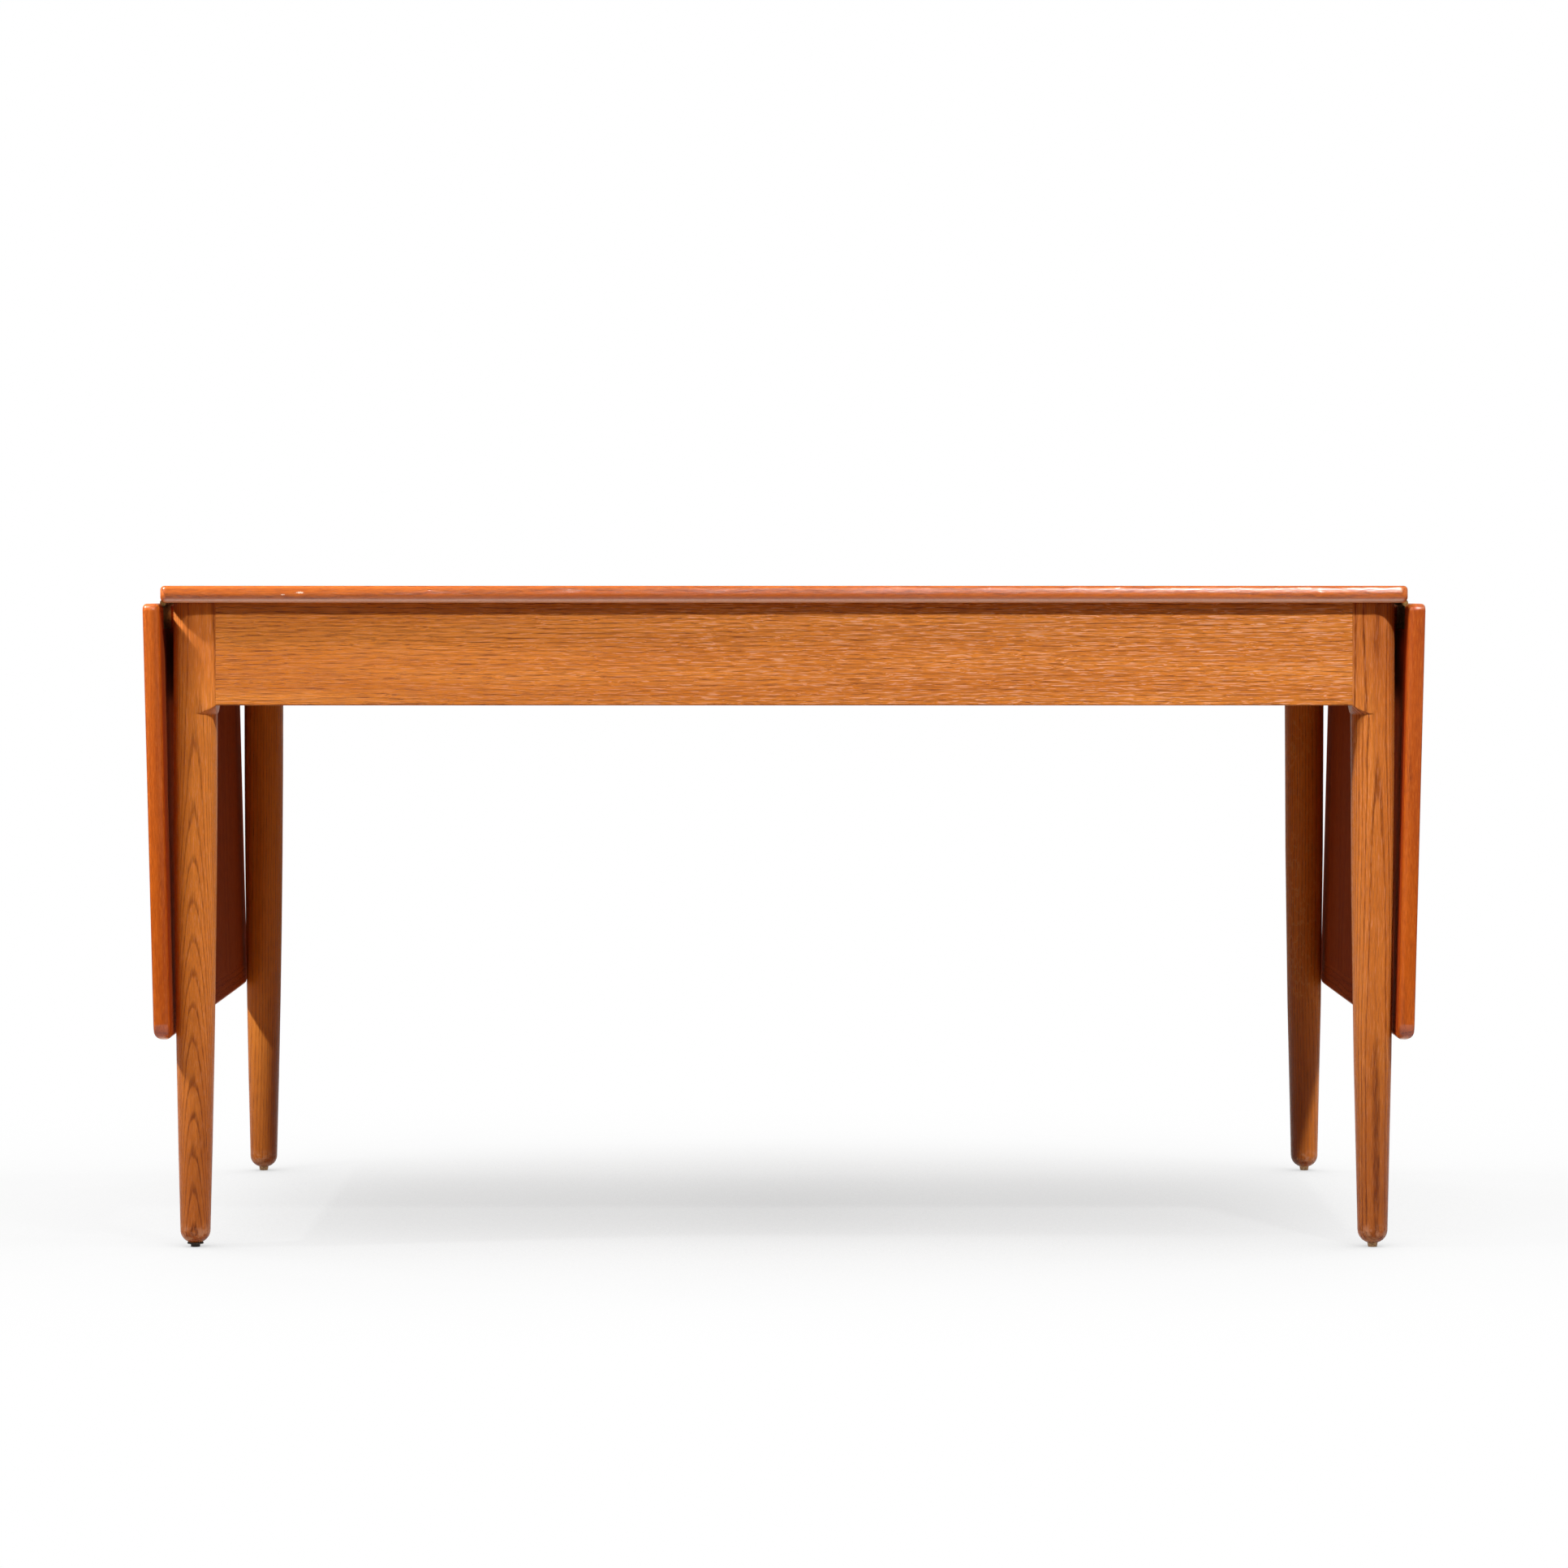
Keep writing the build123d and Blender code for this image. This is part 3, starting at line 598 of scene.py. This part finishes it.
def dress_hidden_wood():
    """Plain beech where it doesn't show."""
    bars = wood("beech_bars", BEECH, X_AXIS, Z_AXIS, BAR_PITH)
    rails = wood("beech_rails", BEECH, Y_AXIS, X_AXIS, RAIL_PITH)
    blocks = wood("beech_blocks", BEECH, Z_AXIS, X_AXIS, BLOCK_PITH)
    for name in nodes:
        if "support" in name:
            dress(name, bars)
        elif name.startswith("cross_rail"):
            dress(name, rails)
        elif name.startswith("corner_block"):
            dress(name, blocks)


# Teak top: width of a leaf of veneer, piths, chips on the front edge and the slant of the edges that
# carry a painted reflection of the floor
VENEER_STRIP = 0.199
TOP_PITH = Vector((0, 0, 0.66))
LIPPING_PITH_HEIGHT = 0.70
LONG_LIPPING_PITH = 0.30
END_LIPPING_PITH = 0.58
FRONT_CHIPS = (
    (Vector((-0.5365, -0.430, 0.7295)), Vector((0.0048, 0.006, 0.0011))),
    (Vector((-0.5560, -0.430, 0.7272)), Vector((0.0026, 0.006, 0.0007))),
)
REFLECTING_OUTWARD = 0.6
REFLECTING_DOWNWARD = 0.8


def dress_top():
    """Book-matched veneer inside solid lippings."""
    low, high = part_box("top_panel")
    board = (Z_AXIS, (high.z + low.z) / 2)
    dress("top_panel", wood("teak_top_veneer", VENEER, X_AXIS, Z_AXIS, TOP_PITH, tilt=0.008, seed=0.5,
                            strips=VENEER_STRIP, board=board))
    for facing_name, facing in FACINGS:
        name = f"top_lipping_{facing_name}"
        pith = Vector((0.0, facing * LONG_LIPPING_PITH, LIPPING_PITH_HEIGHT))
        reflecting_side = Y_AXIS * facing * REFLECTING_OUTWARD - Z_AXIS * REFLECTING_DOWNWARD
        dress(name, wood(f"teak_{name}", TEAK, X_AXIS, Y_AXIS * facing, pith, seed=1.1 * facing,
                         board=board, chips=FRONT_CHIPS if facing < 0 else (),
                         reflecting_side=reflecting_side))
    for side_name, side in SIDES:
        name = f"top_lipping_{side_name}"
        pith = Vector((side * END_LIPPING_PITH, 0.0, LIPPING_PITH_HEIGHT))
        dress(name, wood(f"teak_{name}", TEAK, Y_AXIS, X_AXIS * side, pith, seed=0.6 * side,
                         board=board))


# Teak leaves: piths of the panel, of the long lippings and of the lippings at hinge and free end
LEAF_PANEL_PITH = 0.64
LEAF_LONG_PITH = (0.70, 0.33)
LEAF_END_PITH = 0.60
LEAF_END_PITH_BELOW = 0.02


def leaf_board(panel, side):
    """Direction of a hanging leaf's good face, and how far its middle plane lies along it."""
    mesh = nodes[panel].data
    largest = max(mesh.polygons, key=lambda face: face.area)
    good_face = largest.normal.copy()
    if good_face.x * side < 0:
        good_face.negate()
    depths = [good_face.dot(vertex.co) for vertex in mesh.vertices]
    return good_face, (min(depths) + max(depths)) / 2


def dress_leaf(side_name, side):
    """A leaf's veneer and its four lippings."""
    panel = f"{side_name}_leaf_panel"
    board = leaf_board(panel, side)
    pith = Vector((side * LEAF_PANEL_PITH, 0.0, 0.0))
    dress(panel, wood(f"teak_{panel}", VENEER, Z_AXIS, X_AXIS * side, pith, tilt=0.010,
                      seed=3.0 * side, strips=VENEER_STRIP, board=board))
    for facing_name, facing in FACINGS:
        name = f"{side_name}_leaf_lipping_{facing_name}"
        pith = Vector((side * LEAF_LONG_PITH[0], facing * LEAF_LONG_PITH[1], 0.0))
        dress(name, wood(f"teak_{name}", LEAF_TEAK, Z_AXIS, Y_AXIS * facing, pith,
                         seed=0.9 * side + facing, board=board))
    for edge in ("hinged", "end"):
        name = f"{side_name}_leaf_lipping_{edge}"
        low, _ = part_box(name)
        pith = Vector((side * LEAF_END_PITH, 0.0, low.z - LEAF_END_PITH_BELOW))
        dress(name, wood(f"teak_{name}", TEAK, Y_AXIS, X_AXIS * side, pith, seed=1.7 * side,
                         board=board, reflecting_side=-Z_AXIS if edge == "end" else None))


def dress_metalwork():
    """Hinges, screws and glides."""
    aged_brass = metal("aged_brass", bright=(0.46, 0.29, 0.10), dull=(0.16, 0.09, 0.035),
                       rough=(0.34, 0.58), grain=420.0)
    brass_screw = metal("brass_screw", bright=(0.56, 0.38, 0.15), dull=(0.26, 0.15, 0.06),
                        rough=(0.28, 0.50), grain=900.0)
    worn_steel = metal("worn_steel", bright=(0.42, 0.36, 0.30), dull=(0.20, 0.14, 0.10),
                       rough=(0.35, 0.60), grain=700.0)
    browned_glide = metal("browned_glide", bright=(0.42, 0.25, 0.13), dull=(0.20, 0.10, 0.05),
                          rough=(0.42, 0.66), grain=700.0)
    for name in nodes:
        if "hinge" in name and name.endswith("screws"):
            dress(name, brass_screw)
        elif name.endswith("flaps") or name.endswith("pins"):
            dress(name, aged_brass)
    dress("top_fixing_screws", worn_steel)
    dress("foot_glides", browned_glide)
    dress("front_left_glide", dark_pad("dark_pad"))


# Floor: pale, with a painted shadow and a faint cast one near the table, running out to white
FLOOR_RADIUS = 9.0
FLOOR_SIDES = 96
FLOOR_ROUGHNESS = 0.9
FLOOR_SEEN = (0.82, 0.82, 0.82)
FLOOR_BOUNCE = (0.36, 0.25, 0.14)
SHADOW_SPREAD = (0.98, 0.80)
SHADOW_FADE = (0.45, 1.05)
SHADOW_LIFT = 0.94
SHADE_REACH = 1.0
SHADE_DEPTH = 0.47
SHADE_SAMPLES = 8
MIRRORED = (1.6, 3.4)


def seen_white(tree, mirrored):
    """How far a ray is one that shows the background white; mirrored scales reflected rays."""
    path = tree.nodes.new("ShaderNodeLightPath")
    through = tree.nodes.new("ShaderNodeMath")
    through.operation = "MAXIMUM"
    tree.links.new(path.outputs["Is Camera Ray"], through.inputs[0])
    tree.links.new(path.outputs["Is Transmission Ray"], through.inputs[1])
    seen = tree.nodes.new("ShaderNodeMath")
    seen.operation = "MULTIPLY_ADD"
    seen.use_clamp = True
    tree.links.new(path.outputs["Is Glossy Ray"], seen.inputs[0])
    tree.links.new(mirrored, seen.inputs[1])
    tree.links.new(through.outputs[0], seen.inputs[2])
    return seen.outputs[0]


def pale_floor():
    """Shaded softly under the table, white further out and clear from below."""
    shader = Shader("pale_floor")
    spread = (1 / SHADOW_SPREAD[0], 1 / SHADOW_SPREAD[1], 1.0)
    distance = shader.vector("LENGTH", shader.vector("MULTIPLY", shader.place, spread))
    seen = seen_white(shader.tree, shader.ramp_to(distance, *MIRRORED, 1.0, 0.0))
    shader.feed(shader.surface.inputs["Base Color"], shader.mix(seen, FLOOR_BOUNCE, FLOOR_SEEN))
    shader.surface.inputs["Roughness"].default_value = FLOOR_ROUGHNESS
    shader.surface.inputs["Specular IOR Level"].default_value = 0.0
    # Painted shadow: the floor's glow is dimmed by ambient occlusion under the table
    shade = shader.node("ShaderNodeAmbientOcclusion", samples=SHADE_SAMPLES)
    shade.inputs["Distance"].default_value = SHADE_REACH
    tone = shader.ramp_to(shade.outputs["AO"], 0.0, 1.0, 1.0 - SHADE_DEPTH, 1.0)
    glow = shader.node("ShaderNodeEmission")
    shader.feed(glow.inputs["Strength"], tone)
    blend = shader.node("ShaderNodeMixShader")
    away = shader.ramp_to(distance, *SHADOW_FADE, SHADOW_LIFT, 1.0)
    shader.feed(blend.inputs[0], shader.math("MULTIPLY", away, seen))
    shader.feed(blend.inputs[1], shader.surface.outputs[0])
    shader.feed(blend.inputs[2], glow.outputs[0])
    clear = shader.node("ShaderNodeMixShader")
    shader.feed(clear.inputs[0], shader.node("ShaderNodeNewGeometry").outputs["Backfacing"])
    shader.feed(clear.inputs[1], blend.outputs[0])
    shader.feed(clear.inputs[2], shader.node("ShaderNodeBsdfTransparent").outputs[0])
    shader.feed(shader.tree.nodes["Material Output"].inputs["Surface"], clear.outputs[0])
    return shader.material


def build_floor():
    """A round floor under the table."""
    turns = [2 * math.pi * number / FLOOR_SIDES for number in range(FLOOR_SIDES)]
    corners = [(FLOOR_RADIUS * math.cos(turn), FLOOR_RADIUS * math.sin(turn), 0.0) for turn in turns]
    mesh = bpy.data.meshes.new("floor")
    mesh.from_pydata(corners, [], [list(range(FLOOR_SIDES))])
    floor = bpy.data.objects.new("floor", mesh)
    scene.collection.objects.link(floor)
    mesh.materials.append(pale_floor())


# Surround: the fill on the table, and how dim reflections find the front and the back
FILL_TONE = (1.0, 0.64, 0.34)
FILL_LEVEL = 0.22
FRONT_GLOOM = 0.10
BACK_GLOOM = 0.45
GLOOM_SPREAD = (0.950, 0.25)


def build_surround():
    """White to the eye, with a warm fill on the table and a dim side behind the camera."""
    world = bpy.data.worlds.new("studio")
    scene.world = world
    world.use_nodes = True
    tree = world.node_tree
    direction = tree.nodes.new("ShaderNodeTexCoord").outputs["Generated"]
    towards = tree.nodes.new("ShaderNodeVectorMath")
    towards.operation = "DOT_PRODUCT"
    tree.links.new(direction, towards.inputs[0])
    towards.inputs[1].default_value = -Y_AXIS
    gloom = tree.nodes.new("ShaderNodeMapRange")
    gloom.interpolation_type = "SMOOTHSTEP"
    for socket, value in zip(gloom.inputs[1:5], (*GLOOM_SPREAD, FRONT_GLOOM, BACK_GLOOM)):
        socket.default_value = value
    tree.links.new(towards.outputs["Value"], gloom.inputs["Value"])
    white = tree.nodes["Background"]
    white.inputs["Color"].default_value = (1.0, 1.0, 1.0, 1.0)
    fill = tree.nodes.new("ShaderNodeBackground")
    fill.inputs["Color"].default_value = (*FILL_TONE, 1.0)
    fill.inputs["Strength"].default_value = FILL_LEVEL
    blend = tree.nodes.new("ShaderNodeMixShader")
    tree.links.new(seen_white(tree, gloom.outputs[0]), blend.inputs[0])
    tree.links.new(fill.outputs[0], blend.inputs[1])
    tree.links.new(white.outputs[0], blend.inputs[2])
    tree.links.new(blend.outputs[0], tree.nodes["World Output"].inputs["Surface"])


# Lamps: one high in front, a near one at the left and one that is seen only as a glint
LAMPS = {
    "key": {"place": (2.0, -4.2, 6.2), "aim": (0.6, 0.0, 0.45), "size": 0.45, "spread": 60.0,
            "power": 65.0, "glossy_only": False},
    "side": {"place": (-1.75, -0.68, 1.85), "aim": (-0.3, -0.2, 0.45), "size": 0.09, "spread": 180.0,
             "power": 58.0, "glossy_only": False},
    "glint": {"place": (1.1, -5.0, 3.6), "aim": (0.0, 0.0, 0.45), "size": 1.2, "spread": 180.0,
              "power": 90.0, "glossy_only": True},
}


def build_lamps():
    """Round area lamps aimed at the table."""
    for name, lamp in LAMPS.items():
        light = bpy.data.lights.new(name, "AREA")
        light.shape = "DISK"
        light.size = lamp["size"]
        light.spread = math.radians(lamp["spread"])
        light.energy = lamp["power"]
        holder = bpy.data.objects.new(name, light)
        holder.location = lamp["place"]
        holder.visible_diffuse = not lamp["glossy_only"]
        beam = Vector(lamp["aim"]) - Vector(lamp["place"])
        holder.rotation_euler = beam.to_track_quat("-Z", "Y").to_euler()
        scene.collection.objects.link(holder)


# Camera: level, at the height of the top, with the frame shifted down
PHOTO_WIDTH = 1932
FOCAL_PIXELS = 6614.0
HORIZON_ROW = 724.0
SENSOR = 36.0
CAMERA_PLACE = Vector((0.0, -6.382, 0.735))


def build_camera():
    """The camera of the main view."""
    lens = bpy.data.cameras.new("camera")
    lens.sensor_width = SENSOR
    lens.lens = FOCAL_PIXELS / PHOTO_WIDTH * SENSOR
    lens.shift_y = (HORIZON_ROW - PHOTO_WIDTH / 2) / PHOTO_WIDTH
    camera = bpy.data.objects.new("camera", lens)
    camera.location = CAMERA_PLACE
    camera.rotation_euler = (math.pi / 2, 0.0, 0.0)
    scene.collection.objects.link(camera)
    scene.camera = camera


dress_legs()
dress_aprons()
dress_hidden_wood()
dress_top()
for leaf_name, leaf_side in SIDES:
    dress_leaf(leaf_name, leaf_side)
dress_metalwork()
build_floor()
build_surround()
build_lamps()
build_camera()
scene.view_settings.view_transform = "Standard"
